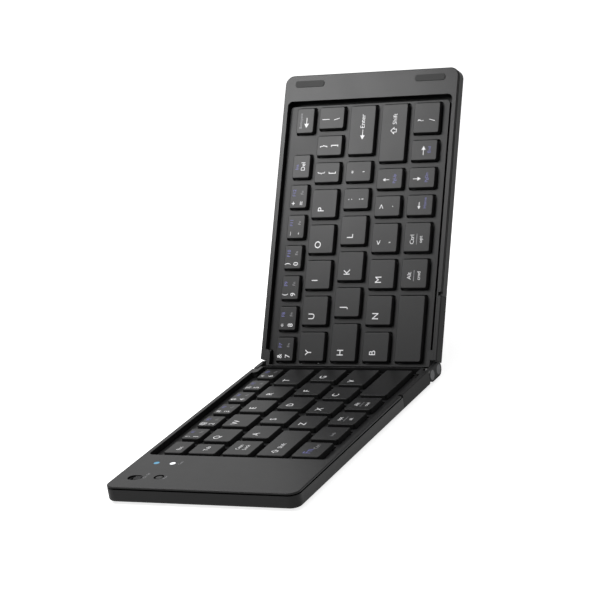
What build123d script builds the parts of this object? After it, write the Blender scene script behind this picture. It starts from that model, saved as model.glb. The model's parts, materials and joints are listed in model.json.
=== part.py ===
"""Two-piece folding keyboard, half open: the left half lies flat, the right half is raised.

Each half is drawn lying flat in its own frame and is then put in place:
  u  distance from the half's hinge end towards its outer end
  v  distance from the back edge (number row side) towards the front edge (space bar side)
  w  height above the rim plane, so everything inside the case has a negative w
The origin of the finished model is the centre of its footprint, on the surface it stands on.
"""
import os
from dataclasses import dataclass
from math import cos, radians, sin

from build123d import *

os.makedirs("parts", exist_ok=True)

# ---- driving dimensions, millimetres and degrees ----------------------------------------
HALF_LENGTH = 143.0        # hinge end to outer end of one half
DEPTH = 91.0               # back edge to front edge
THICKNESS = 7.0            # rim plane to the underside of one half
OPEN_ANGLE = 120.86        # between the two key faces as photographed
CLOSED_GAP = 0.4           # between the two rims when the keyboard is shut

# case
CORNER_RADIUS = 4.5        # outer corners, seen from above
HINGE_CORNER_RADIUS = 0.6
UNDERSIDE_ROUNDING = 1.2
RIM_ROUNDING = 0.5
SKIN = 1.2                 # top face of the frame
WALL = 1.6                 # side walls of the cover
FLOOR = 0.9                # bottom cover
RIM_PLATE = 0.7            # edge of the frame, which lies over the cover's walls
SEAM = 0.7                 # dark joint line between that edge and the cover's walls
LIP_DEPTH = 4.6            # rim plane to the lower edge of the frame's lip inside the cover
HINGE_WALL = 0.9           # thin end wall beside the hinge
LIP_GAP = 0.1              # between the frame's lip and the cover's wall
LIP_THICKNESS = 0.65       # lip, from its outer face to the key field, back and front
WINDOW_CORNER = 2.4

# key field
KEY_PITCH = 17.3           # letter keys, along u
NUMBER_PITCH = 14.85       # number row, along u
NARROW_PITCH = 13.25       # arrow and bracket keys, along u
ROW_PITCH = 16.58          # along v
ROW_DEPTH = 13.2           # cap size along v
NUMBER_ROW_DEPTH = 9.2
NUMBER_ROW_FRONT = 17.0    # front edge of the number row
LETTER_ROWS_FRONT = 16.5   # the letter rows' front edges are row pitches away from here
KEY_SPACING = 3.4          # between neighbouring caps, along u
FIELD_START = 2.65         # hinge end to the first caps
LEFT_FIELD_END = 104.3
RIGHT_FIELD_END = 126.4
LEFT_STAGGER = 4.6         # how much longer the caps T and V are than a letter cap
RIGHT_STAGGER = 3.95       # how much longer the cap H is
LEFT_SPACE_LENGTH = 30.85
BACKSPACE_LENGTH = 12.4
CAP_TOP = 0.4              # rim plane down to the cap tops
CAP_HEIGHT = 2.5
CAP_WALL = 0.9
CAP_CEILING = 1.0
CAP_CORNER = 1.0
CAP_EDGE = 0.4
CAP_CLEARANCE = 0.7        # cap to its window in the key plate

# key plate and the sheets under it
PLATE_DEPTH = 2.6          # rim plane down to the key plate
PLATE_THICKNESS = 0.8
PLATE_BACK_GAP = 0.45      # frame to the plate's back edge
PLATE_FRONT_GAP = 2.15     # frame to the plate's front edge
PLATE_OUTER_GAP = 2.15     # frame's outer strip to the plate
PLATE_OUTER = 1.5          # end of the key field to the plate's outer edge
PLATE_CORNER = 2.0
GROOVE = 0.4               # dark groove between plate and frame at the hinge end
PLATE_WALL = 0.6           # skirt that carries the plate
SHEET_DEPTH = 4.65         # rim plane down to the dome sheet
DOME_SHEET = 0.15
MEMBRANE = 0.2
BACKING = 0.5
DOME_BASE_RADIUS = 2.6
DOME_TIP_RADIUS = 1.5
DOME_CLEARANCE = 0.1       # dome tip to the inside of the cap

# hinge: two pins at mid height of the two ends, joined by a yoke
PIN_RADIUS = 1.0
PIN_HEAD_RADIUS = 2.3
PIN_HEAD = 0.7
PIN_CLEARANCE = 0.05
LUG_RADIUS = 2.2
YOKE_RADIUS = 3.2
YOKE_PLATE = 1.95          # yoke end plates, along v
YOKE_INSET = 0.05          # outer face of a yoke plate behind the case side
SLOT_WIDTH = 1.3           # open slot between yoke plate and lug
LUG_WIDTH = 1.5
NOTCH_LENGTH = 3.5         # the case is cut back this far around the yoke plates
SPINE_CLEARANCE = 0.35
SPINE_DROP = 0.4           # top of the spine below the pin axes
SPINE_BOTTOM_CLEARANCE = 0.6
ARM_END = 33.6             # the side strip of a hinge arm ends here
ARM_GAP = 0.2              # between the strip and the case beyond it
RIM_NOTCH = 1.8            # the front rim is open this far beyond the strip
GUSSET_LENGTH = 8.2        # frame corner that covers a lug
FIT = 0.05                 # gap of pieces that are fixed to each other

# flat cable through the hinge, and the tails of the contact sheets that it joins
RIBBON_WIDTH = 8.0
RIBBON_V = 24.0
RIBBON_THICKNESS = 0.15
RIBBON_SLOT = 0.5          # room above the tail in the end wall
TAIL_RISE = 2.65           # the sheet's tail rises between here and the end wall
TAIL_END = 0.2             # tail and cable stop this far from the pin axes
CONNECTOR_U = 112.0
CONNECTOR_SIZE = (2.0, 9.6, 1.0)
CONTACT_TAIL_V = 15.0      # middle of the left sheet's tail to the circuit board

# left outer strip: lights, slide switch, pairing button, port, battery, board
LENS_RADIUS = 1.3
LENS_U = 116.6
LENS_V = (11.5, 19.4)
SWITCH_U, SWITCH_V = 132.6, 9.9
SWITCH_RECESS = (5.0, 6.8)
SWITCH_RECESS_DEPTH = 0.7
SWITCH_SLOT = (2.0, 4.6)
SLIDER_SIZE = (3.6, 2.8)
SLIDER_STEM = 1.4
SWITCH_TRAVEL = 2.4
BUTTON_U, BUTTON_V = 131.2, 20.8
BUTTON_RADIUS = 1.5
BUTTON_RECESS_RADIUS = 2.3
BUTTON_TRAVEL = 0.4
BOARD_THICKNESS = 0.8
BOARD_V = (2.2, 29.0)
STRIP_GAP = 0.4            # board to the window's edge and to the cover's end wall
PORT_U = 123.0
PORT_SIZE = (7.6, 5.6, 2.6)
PORT_MOUTH = (6.8, 1.8)
PORT_DEPTH = 4.6
BATTERY_V = (37.0, 83.5)
BATTERY_THICKNESS = 3.9
BATTERY_SIDE_GAP = 3.05

# fasteners and feet
SCREW_SHANK_RADIUS = 0.7
SCREW_HEAD_RADIUS = 1.25
SCREW_HEAD = 0.5
SCREW_LENGTH = 3.4
BOSS_RADIUS = 1.9
BOSS_INSET = 0.15          # how far a boss in the lip stays behind the lip's outer face
BOSS_MARGIN = 0.6          # a boss to the window's edge
ARM_SCREW_U = 5.9
ARM_SCREW_V = 3.4          # from the case side
FOOT_HEIGHT = 1.0
FOOT_SIZE = (14.0, 4.0)
FOOT_U = (12.0, 128.0)
FOOT_INSET = 9.5
FOOT_SOCKET = 0.3
RIB_THICKNESS = 1.0
RIBS_V = (12.0, 45.0, 78.0)

# rubber pads on the right outer strip
PAD_SIZE = (3.1, 15.3)
PAD_U = 138.5
PAD_V = (13.3, 76.5)
PAD_CORNER = 1.2
PAD_PROUD = 0.3
PAD_SOCKET = 0.6

# ---- values that follow --------------------------------------------------------------
FOLD = 180.0 - OPEN_ANGLE                      # right half above the flat position
PIN_W = -THICKNESS / 2
PIN_SPACING = THICKNESS + CLOSED_GAP
ARM_STRIP = WALL + LIP_GAP                     # a hinge arm's strip is as wide as the wall it replaces
RIM_WIDTH = ARM_STRIP + LIP_THICKNESS          # frame beside the key field
PLATE_BACK = RIM_WIDTH + PLATE_BACK_GAP
PLATE_FRONT = RIM_WIDTH + PLATE_FRONT_GAP
WINDOW_MARGIN = PLATE_OUTER + PLATE_OUTER_GAP  # end of the key field to the frame's outer strip
FLOOR_TOP = -(THICKNESS - FLOOR)
CAP_LENGTH = KEY_PITCH - KEY_SPACING
SHEET_TOP = -SHEET_DEPTH
MEMBRANE_TOP = SHEET_TOP - DOME_SHEET
BACKING_TOP = MEMBRANE_TOP - MEMBRANE
BACKING_BOTTOM = BACKING_TOP - BACKING
YOKE_INNER = YOKE_INSET + YOKE_PLATE
LUG_OUTER = YOKE_INNER + SLOT_WIDTH
LUG_INNER = LUG_OUTER + LUG_WIDTH
GUSSET_INNER = LUG_INNER + 0.1
RIBBON_W = PIN_W - SPINE_DROP + RIBBON_THICKNESS / 2
BOARD_TOP = FLOOR_TOP + BOARD_THICKNESS
RIGHT_END_X = PIN_SPACING + PIN_W * sin(radians(FOLD))
RIGHT_END_Z = PIN_W - PIN_W * cos(radians(FOLD))
FAR_X = (RIGHT_END_X + (HALF_LENGTH - UNDERSIDE_ROUNDING) * cos(radians(FOLD))
         + (THICKNESS - UNDERSIDE_ROUNDING) * sin(radians(FOLD)) + UNDERSIDE_ROUNDING)
ORIGIN_X = (FAR_X - HALF_LENGTH) / 2
RIM_Z = THICKNESS + FOOT_HEIGHT
BIG = 400.0


@dataclass(frozen=True)
class Half:
    """One half: where it goes, which way v runs in its frame, and where its key field ends."""

    name: str
    place: Location
    v_sign: int
    field_end: float

    def box(self, u, v, w):
        """A box from (low, high) pairs of u, v and w."""
        size = (u[1] - u[0], v[1] - v[0], w[1] - w[0])
        centre = ((u[0] + u[1]) / 2, self.v_sign * (v[0] + v[1]) / 2, (w[0] + w[1]) / 2)
        return Pos(*centre) * Box(*size)

    def rod_v(self, u, w, radius, v):
        """A cylinder along v between v[0] and v[1]."""
        centre = (u, self.v_sign * (v[0] + v[1]) / 2, w)
        return Pos(*centre) * Rot(90, 0, 0) * Cylinder(radius, v[1] - v[0])

    def rod_w(self, u, v, radius, w, tip=None):
        """A cylinder, or a cone that narrows to tip, along w between w[0] and w[1]."""
        at = Pos(u, self.v_sign * v, (w[0] + w[1]) / 2)
        height = w[1] - w[0]
        if tip is None:
            return at * Cylinder(radius, height)
        return at * Cone(radius, tip, height)

    def slab(self, u, v, w, radius):
        """A box with rounded corners as seen from above."""
        centre = ((u[0] + u[1]) / 2, self.v_sign * (v[0] + v[1]) / 2, w[0])
        face = RectangleRounded(u[1] - u[0], v[1] - v[0], radius)
        return Pos(*centre) * extrude(face, w[1] - w[0])


def edge_v(offset, front):
    """v of a line that lies offset inside the back edge, or inside the front edge."""
    return DEPTH - offset if front else offset


def edge_span(inner, outer, front):
    """(low, high) v of a strip between two offsets from the back or the front edge."""
    a, b = edge_v(outer, front), edge_v(inner, front)
    return (min(a, b), max(a, b))


LEFT = Half("left", Pos(-ORIGIN_X, DEPTH / 2, RIM_Z) * Rot(0, 0, 180), 1, LEFT_FIELD_END)
RIGHT = Half("right", Pos(RIGHT_END_X - ORIGIN_X, DEPTH / 2, RIM_Z + RIGHT_END_Z) * Rot(0, -FOLD, 0),
             -1, RIGHT_FIELD_END)
HALVES = (LEFT, RIGHT)


def plate_end(half):
    """u of the key plate's outer edge."""
    return half.field_end + PLATE_OUTER


def window_end(half):
    """u of the outer edge of the frame's window."""
    return half.field_end + WINDOW_MARGIN


# ---- key layout ----------------------------------------------------------------------
def row_span(row):
    """(back, front) v of the caps in a row; row 0 is the shallow number row."""
    if row == 0:
        return (NUMBER_ROW_FRONT - NUMBER_ROW_DEPTH, NUMBER_ROW_FRONT)
    front = LETTER_ROWS_FRONT + row * ROW_PITCH
    return (front - ROW_DEPTH, front)


def run(names, start, pitch):
    """Names of equal caps and their (start, end) in u, one pitch apart."""
    return {name: (start + i * pitch, start + (i + 1) * pitch - KEY_SPACING)
            for i, name in enumerate(names)}


def left_rows():
    """Caps of the left half, row by row, from the hinge outwards."""
    end = LEFT_FIELD_END
    first = FIELD_START
    wide = first + CAP_LENGTH + LEFT_STAGGER
    numbers = run("654321", first, NUMBER_PITCH)
    upper = {"t": (first, wide)} | run("rewq", wide + KEY_SPACING, KEY_PITCH)
    home = run("gfdsa", first, KEY_PITCH)
    lower = {"v": (first, wide)} | run("cxz", wide + KEY_SPACING, KEY_PITCH)
    space_end = first + LEFT_SPACE_LENGTH
    bottom = {"space": (first, space_end)}
    bottom |= run(("alt", "option", "function_lock"), space_end + KEY_SPACING, KEY_PITCH)
    rows = (numbers, upper, home, lower, bottom)
    for row, outer in zip(rows, ("esc", "tab", "caps", "shift", "fn")):
        last = max(high for _, high in row.values())
        row[outer] = (last + KEY_SPACING, end)
    return rows


def right_rows():
    """Caps of the right half, row by row, from the hinge outwards."""
    first, end = FIELD_START, RIGHT_FIELD_END
    numbers = run(("7", "8", "9", "0", "minus", "equals", "delete"), first, NUMBER_PITCH)
    numbers["backspace"] = (end - BACKSPACE_LENGTH, end)
    upper = run("yuiop", first, KEY_PITCH)
    brackets = first + 5 * KEY_PITCH
    upper |= run(("open_bracket", "close_bracket"), brackets, NARROW_PITCH)
    upper["backslash"] = (brackets + 2 * NARROW_PITCH, end)
    wide = first + CAP_LENGTH + RIGHT_STAGGER
    home = {"h": (first, wide)} | run("jkl", wide + KEY_SPACING, KEY_PITCH)
    home["semicolon"] = (wide + KEY_SPACING + 3 * KEY_PITCH, brackets - KEY_SPACING)
    home |= run(("quote",), brackets, NARROW_PITCH)
    home["enter"] = (brackets + NARROW_PITCH, end)
    lower = run(("b", "n", "m", "comma"), first, KEY_PITCH)
    arrows = first + 4 * KEY_PITCH
    lower |= run(("period", "up"), arrows, NARROW_PITCH)
    lower["shift"] = (arrows + 2 * NARROW_PITCH, end)
    bottom = {"space": (first, first + 2 * KEY_PITCH - KEY_SPACING)}
    bottom |= run(("alt", "ctrl"), first + 2 * KEY_PITCH, KEY_PITCH)
    bottom |= run(("left", "down", "right"), arrows, NARROW_PITCH)
    bottom["slash"] = (arrows + 3 * NARROW_PITCH, end)
    return (numbers, upper, home, lower, bottom)


def cap_places(half):
    """Every cap of a half: name -> ((u low, u high), (v low, v high))."""
    rows = left_rows() if half is LEFT else right_rows()
    return {name: (span, row_span(i)) for i, row in enumerate(rows) for name, span in row.items()}


# caps that share a node, because the library holds at most 60 files
LEFT_KEY_NODES = {
    "left_space_bar": ("space",), "left_alt_keys": ("alt", "option", "function_lock"),
    "fn_key": ("fn",), "left_shift_key": ("shift",), "caps_lock_key": ("caps",),
    "tab_key": ("tab",), "escape_key": ("esc",), "keys_1_2_3": "123", "keys_4_5_6": "456",
    "keys_q_w_e": "qwe", "keys_r_t": "rt", "keys_a_s_d": "asd", "keys_f_g": "fg",
    "keys_z_x": "zx", "keys_c_v": "cv",
}
RIGHT_KEY_NODES = {
    "right_space_bar": ("space",), "right_alt_ctrl_keys": ("alt", "ctrl"),
    "arrow_keys": ("left", "down", "right", "up"), "right_shift_key": ("shift",),
    "enter_key": ("enter",), "backspace_key": ("backspace",), "delete_key": ("delete",),
    "keys_7_8_9": "789", "keys_0_minus_equals": ("0", "minus", "equals"), "keys_y_u_i": "yui",
    "keys_o_p": "op", "bracket_keys": ("open_bracket", "close_bracket", "backslash"),
    "keys_h_j": "hj", "keys_k_l": "kl", "keys_semicolon_quote": ("semicolon", "quote"),
    "keys_b_n_m": "bnm", "keys_comma_period_slash": ("comma", "period", "slash"),
}
KEY_NODES = {LEFT: LEFT_KEY_NODES, RIGHT: RIGHT_KEY_NODES}


def key_cap(half, u, v):
    """A hollow cap with rounded corners and a softened top edge."""
    top = -CAP_TOP
    cap = half.slab(u, v, (top - CAP_HEIGHT, top), CAP_CORNER)
    cap = fillet(cap.faces().sort_by(Axis.Z)[-1].edges(), CAP_EDGE)
    inside_u = (u[0] + CAP_WALL, u[1] - CAP_WALL)
    inside_v = (v[0] + CAP_WALL, v[1] - CAP_WALL)
    return cap - half.box(inside_u, inside_v, (top - CAP_HEIGHT, top - CAP_CEILING))


# ---- case shells -----------------------------------------------------------------------
def outline(half, inset=0.0):
    """Face of the case as seen from above, moved in by inset."""
    length = HALF_LENGTH - 2 * inset
    width = DEPTH - 2 * inset
    face = Pos(HALF_LENGTH / 2, half.v_sign * DEPTH / 2) * Rectangle(length, width)
    corners = face.vertices().sort_by(Axis.X)
    face = fillet(corners[-2:], max(CORNER_RADIUS - inset, 0.5))
    hinge_corners = face.vertices().sort_by(Axis.X)[:2]
    return fillet(hinge_corners, max(HINGE_CORNER_RADIUS - inset, 0.2))


def shell_block(half, w, inset=0.0):
    """The outline extruded between two heights."""
    return Pos(0, 0, w[0]) * extrude(outline(half, inset), w[1] - w[0])


def hinge_cuts(half, strip_bottom, front_gap=ARM_GAP):
    """What a shell loses to the yoke plates, the arms and the arms' side strips."""
    cuts = []
    for front in (False, True):
        notch = edge_span(-1.0, LUG_OUTER, front)
        cuts.append(half.box((-1, NOTCH_LENGTH), notch, (-BIG, 1)))
        strip = edge_span(-1.0, ARM_STRIP, front)
        strip_end = ARM_END + (front_gap if front else ARM_GAP)
        cuts.append(half.box((-1, strip_end), strip, (strip_bottom, 1)))
        web = edge_span(-1.0, GUSSET_INNER, front)
        cuts.append(half.box((-1, GUSSET_LENGTH), web, (FLOOR_TOP, -SKIN)))
    return cuts


def ribbon_v(margin=0.0):
    """(low, high) v of the ribbon cable with a margin at both sides."""
    return (RIBBON_V - RIBBON_WIDTH / 2 - margin, RIBBON_V + RIBBON_WIDTH / 2 + margin)


def frame_window(half):
    """The opening in the frame's top face that shows the key plate."""
    v = (RIM_WIDTH, DEPTH - RIM_WIDTH)
    window = half.slab((HINGE_WALL, window_end(half)), v, (-SKIN - 1, 1), WINDOW_CORNER)
    for front in (False, True):
        gusset = edge_span(0.0, GUSSET_INNER, front)
        window -= half.slab((-GUSSET_LENGTH, GUSSET_LENGTH), gusset, (-SKIN - 1, 1), 1.8)
    return window


def screw_places(half):
    """(u, v) of the screws that hold cover and frame together at the outer strip."""
    if half is LEFT:
        inner = window_end(half) + BOSS_RADIUS + BOSS_MARGIN
        near_wall = ARM_STRIP + BOSS_RADIUS + BOSS_INSET
        outer = HALF_LENGTH - near_wall
        return [(u, v) for u in (inner, outer) for v in (BOARD_V[1] + 3.6, DEPTH - near_wall)]
    return [(HALF_LENGTH - 7.0, v) for v in (26.0, 65.0)]


def arm_screw_places():
    """(u, v) of the screws that hold the hinge arms."""
    return [(ARM_SCREW_U, edge_v(ARM_SCREW_V, front)) for front in (False, True)]


def lip_block(half, inset, w):
    """Block inside the cover's walls; its hinge end lies beyond the half's own."""
    corner = max(CORNER_RADIUS - inset, 0.5)
    return half.slab((-2 * CORNER_RADIUS, HALF_LENGTH - inset), (inset, DEPTH - inset), w, corner)


def top_frame(half):
    """Upper shell: rim plate, lip inside the cover, hinge wall, outer strip and screw bosses."""
    body = shell_block(half, (-RIM_PLATE, 0))
    body = fillet(body.faces().sort_by(Axis.Z)[-1].outer_wire().edges(), RIM_ROUNDING)
    core = lip_block(half, ARM_STRIP, (-LIP_DEPTH, -RIM_PLATE / 2))
    core -= half.box((-BIG, 0), (-1, DEPTH + 1), (-BIG, BIG))
    hollow = lip_block(half, RIM_WIDTH, (-LIP_DEPTH - 1, -SKIN))
    core -= hollow - half.box((-BIG, HINGE_WALL), (-1, DEPTH + 1), (-BIG, BIG))
    body += core
    for u, v in screw_places(half):
        boss = half.rod_w(u, v, BOSS_RADIUS, (FLOOR_TOP, -SKIN / 2))
        body += boss - half.rod_w(u, v, SCREW_SHANK_RADIUS + FIT, (FLOOR_TOP - 1, -SKIN - 0.8))
    body -= frame_window(half)
    for cut in hinge_cuts(half, -BIG, RIM_NOTCH):
        body -= cut
    body -= half.box((-1, HINGE_WALL + 0.5), ribbon_v(1), (-BIG, RIBBON_W + RIBBON_SLOT))
    if half is LEFT:
        return left_strip_cuts(body)
    for v in PAD_V:
        body -= pad_block(v, (-PAD_SOCKET, 1), FIT)
    return body


def left_strip_cuts(body):
    """Openings of the left outer strip: two lights, slide switch, button and port."""
    for v in LENS_V:
        body -= LEFT.rod_w(LENS_U, v, LENS_RADIUS + FIT, (-SKIN - 1, 1))
    for size, w in ((SWITCH_RECESS, -SWITCH_RECESS_DEPTH), (SWITCH_SLOT, -SKIN - 1)):
        body -= centred_slot(SWITCH_U, SWITCH_V, size, (w, 1))
    body -= LEFT.rod_w(BUTTON_U, BUTTON_V, BUTTON_RECESS_RADIUS, (-SWITCH_RECESS_DEPTH, 1))
    body -= LEFT.rod_w(BUTTON_U, BUTTON_V, BUTTON_RADIUS + 0.15, (-SKIN - 1, 1))
    return body - port_opening()


def centred_slot(u, v, size, w):
    """A round-ended slot around (u, v)."""
    half_u, half_v = size[0] / 2, size[1] / 2
    radius = min(half_u, half_v) - 0.01
    return LEFT.slab((u - half_u, u + half_u), (v - half_v, v + half_v), w, radius)


def port_opening():
    """The hole in the back wall that shows the charging port's mouth."""
    width, _, height = PORT_SIZE
    gap = 0.2
    w = (BOARD_TOP - gap, BOARD_TOP + height + gap)
    u = (PORT_U - width / 2 - gap, PORT_U + width / 2 + gap)
    return LEFT.box(u, (-1, BOARD_V[0] + PORT_SIZE[1]), w)


def bottom_cover(half):
    """Lower shell: floor, side walls up to the seam and the ribs that carry the backing plate."""
    body = shell_block(half, (-THICKNESS, -RIM_PLATE - SEAM))
    under = body.faces().sort_by(Axis.Z)[0].edges()
    round_edges = [e for e in under if e.bounding_box().max.X > HINGE_WALL]
    body = fillet(round_edges, UNDERSIDE_ROUNDING)
    cavity_u = (HINGE_WALL, HALF_LENGTH - WALL)
    body -= half.slab(cavity_u, (WALL, DEPTH - WALL), (FLOOR_TOP, 1), 0.8)
    body -= half.box((-1, HINGE_WALL + FIT), (-1, DEPTH + 1), (-LIP_DEPTH, 1))
    for v in RIBS_V:
        span = (v - RIB_THICKNESS / 2, v + RIB_THICKNESS / 2)
        body += half.box((GUSSET_LENGTH + 2, plate_end(half) - 2), span, (FLOOR_TOP, BACKING_BOTTOM))
    for cut in hinge_cuts(half, FLOOR_TOP):
        body -= cut
    for u, v in screw_places(half) + arm_screw_places():
        body -= half.rod_w(u, v, SCREW_SHANK_RADIUS + FIT, (-THICKNESS - 1, FLOOR_TOP + 1))
        head = (-THICKNESS - 1, -THICKNESS + SCREW_HEAD + FIT)
        body -= half.rod_w(u, v, SCREW_HEAD_RADIUS + FIT, head)
    for u, v in foot_places():
        body -= foot_block(half, u, v, (-THICKNESS - 1, -THICKNESS + FOOT_SOCKET), FIT)
    if half is LEFT:
        body -= port_opening()
    return body


# ---- what lies in the case -----------------------------------------------------------
def field_block(half, w, margin=0.0):
    """Block under the key field with the hinge corners cut out for the lugs."""
    u = (HINGE_WALL + GROOVE - margin, plate_end(half) + margin)
    v = (PLATE_BACK - margin, DEPTH - PLATE_FRONT + margin)
    block = half.slab(u, v, w, PLATE_CORNER + margin)
    for front in (False, True):
        corner = edge_span(-1.0, GUSSET_INNER + GROOVE - margin, front)
        corner_u = (-BIG, GUSSET_LENGTH + GROOVE - margin)
        block -= half.slab(corner_u, corner, (w[0] - 1, w[1] + 1), 0.9)
    return block


def tail_gap(half):
    """The piece that plate and sheets lose beside the hinge, where the contact sheet's tail rises."""
    return half.box((-1, TAIL_RISE), ribbon_v(1), (-BIG, -PLATE_DEPTH - PLATE_THICKNESS))


def band(half, points, v, thickness):
    """A thin strip that follows (u, w) points, as wide as v."""
    points = [Vector(u, w) for u, w in points]
    sides = ([], [])
    for i, point in enumerate(points):
        before = (point - points[max(i, 1) - 1]).normalized() if i else (points[1] - point).normalized()
        after = (points[i + 1] - point).normalized() if i + 1 < len(points) else before
        normals = [Vector(-along.Y, along.X) for along in (before, after)]
        mitre = (normals[0] + normals[1]).normalized()
        reach = thickness / 2 / mitre.dot(normals[0])
        sides[0].append(point + mitre * reach)
        sides[1].append(point - mitre * reach)
    corners = [(p.X, p.Y) for p in sides[0] + sides[1][::-1]]
    face = Plane.XZ * make_face(Polyline(*corners, close=True))
    high_y = max(half.v_sign * side for side in v)
    return Pos(0, high_y, 0) * extrude(face, v[1] - v[0])


def key_plate(half):
    """Bezel grid between the keys, standing on its skirt."""
    top = -PLATE_DEPTH
    plate = field_block(half, (SHEET_TOP, top))
    hollow = field_block(half, (SHEET_TOP - 1, top - PLATE_THICKNESS), -PLATE_WALL)
    plate -= hollow
    for u, v in cap_places(half).values():
        grow_u = (u[0] - CAP_CLEARANCE, u[1] + CAP_CLEARANCE)
        grow_v = (v[0] - CAP_CLEARANCE, v[1] + CAP_CLEARANCE)
        plate -= half.slab(grow_u, grow_v, (SHEET_TOP - 1, top + 1), CAP_CORNER + 0.3)
    return plate - tail_gap(half)


def dome_sheet(half):
    """Rubber sheet with one dome under each cap, or three under a space bar."""
    sheet = field_block(half, (MEMBRANE_TOP, SHEET_TOP)) - tail_gap(half)
    tip_w = -CAP_TOP - CAP_CEILING - DOME_CLEARANCE
    for u, v in cap_places(half).values():
        count = 3 if u[1] - u[0] > 1.5 * CAP_LENGTH else 1
        fit_radius = min(DOME_BASE_RADIUS, (v[1] - v[0]) / 2 - CAP_WALL - 0.6)
        for i in range(count):
            centre_u = u[0] + (u[1] - u[0]) * (i + 0.5) / count
            centre_v = (v[0] + v[1]) / 2
            base = (SHEET_TOP - DOME_SHEET / 2, tip_w)
            sheet += half.rod_w(centre_u, centre_v, fit_radius, base, DOME_TIP_RADIUS)
    return sheet


def membrane(half):
    """Printed contact sheet: a tail runs out to the hinge, and on the left one to the board."""
    level = (MEMBRANE_TOP + BACKING_TOP) / 2
    path = [(TAIL_RISE + 0.5, level), (TAIL_RISE, level), (HINGE_WALL, RIBBON_W), (TAIL_END, RIBBON_W)]
    sheet = field_block(half, (BACKING_TOP, MEMBRANE_TOP)) - tail_gap(half)
    sheet += band(half, path, ribbon_v(), RIBBON_THICKNESS)
    if half is LEFT:
        edge = plate_end(LEFT)
        low = BOARD_TOP + RIBBON_THICKNESS / 2 + FIT
        path = [(edge - 0.5, level), (edge + 0.4, level), (edge + 1.6, low), (CONNECTOR_U - FIT, low)]
        span = (CONTACT_TAIL_V - RIBBON_WIDTH / 2, CONTACT_TAIL_V + RIBBON_WIDTH / 2)
        sheet += band(half, path, span, RIBBON_THICKNESS)
    return sheet


def backing_plate(half):
    """Stiff plate that carries the sheets."""
    return field_block(half, (BACKING_BOTTOM, BACKING_TOP))


def hinge_arm(half, front):
    """Metal arm: side strip of the case, a web behind the yoke plate and the lug on the pin."""
    low, high = PIN_W - LUG_RADIUS, PIN_W + LUG_RADIUS
    strip = half.box((NOTCH_LENGTH + FIT, ARM_END), edge_span(0.0, ARM_STRIP - FIT, front), (FLOOR_TOP, 0))
    top_edge = strip.faces().sort_by(Axis.Z)[-1].edges().filter_by(Axis.X)
    side = top_edge.sort_by(Axis.Y)[-1 if front == (half is LEFT) else 0]
    strip = fillet(side, RIM_ROUNDING)
    web_u = (NOTCH_LENGTH + FIT, GUSSET_LENGTH - FIT)
    web = half.box(web_u, edge_span(ARM_STRIP / 2, LUG_INNER, front), (FLOOR_TOP, -SKIN - FIT))
    lug_v = edge_span(LUG_OUTER, LUG_INNER, front)
    neck = half.box((0.0, web_u[1]), lug_v, (low, high))
    arm = strip + web + neck + half.rod_v(0.0, PIN_W, LUG_RADIUS, lug_v)
    arm -= half.rod_v(0.0, PIN_W, PIN_RADIUS + PIN_CLEARANCE, edge_span(LUG_OUTER - 1, LUG_INNER + 1, front))
    hole = (FLOOR_TOP - 1, -THICKNESS + SCREW_HEAD + SCREW_LENGTH + 0.3)
    return arm - half.rod_w(ARM_SCREW_U, edge_v(ARM_SCREW_V, front), SCREW_SHANK_RADIUS + FIT, hole)


def screws(half):
    """Countersunk screws in the underside: the outer strip's and the hinge arms'."""
    pieces = []
    head_w = (-THICKNESS + FIT, -THICKNESS + FIT + SCREW_HEAD)
    for u, v in screw_places(half) + arm_screw_places():
        head = half.rod_w(u, v, SCREW_HEAD_RADIUS, head_w)
        drive = half.rod_w(u, v, SCREW_HEAD_RADIUS / 2, (head_w[0] - 1, head_w[0] + SCREW_HEAD / 2))
        shank = half.rod_w(u, v, SCREW_SHANK_RADIUS, (head_w[1] - 0.1, head_w[1] + SCREW_LENGTH))
        pieces.append(head + shank - drive)
    return pieces


def foot_places():
    """(u, v) of the rubber feet under each half."""
    return [(u, v) for u in FOOT_U for v in (FOOT_INSET, DEPTH - FOOT_INSET)]


def foot_block(half, u, v, w, grow=0.0):
    """A round-ended block around a foot's place."""
    half_u = FOOT_SIZE[0] / 2 + grow
    half_v = FOOT_SIZE[1] / 2 + grow
    return half.slab((u - half_u, u + half_u), (v - half_v, v + half_v), w, half_v - 0.01)


def feet(half):
    """Rubber feet set into the cover."""
    w = (-THICKNESS - FOOT_HEIGHT, -THICKNESS + FOOT_SOCKET)
    return [foot_block(half, u, v, w) for u, v in foot_places()]


def pad_block(v, w, grow=0.0):
    """A rubber pad's block on the right outer strip."""
    half_u = PAD_SIZE[0] / 2 + grow
    half_v = PAD_SIZE[1] / 2 + grow
    return RIGHT.slab((PAD_U - half_u, PAD_U + half_u), (v - half_v, v + half_v), w, PAD_CORNER)


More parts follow.
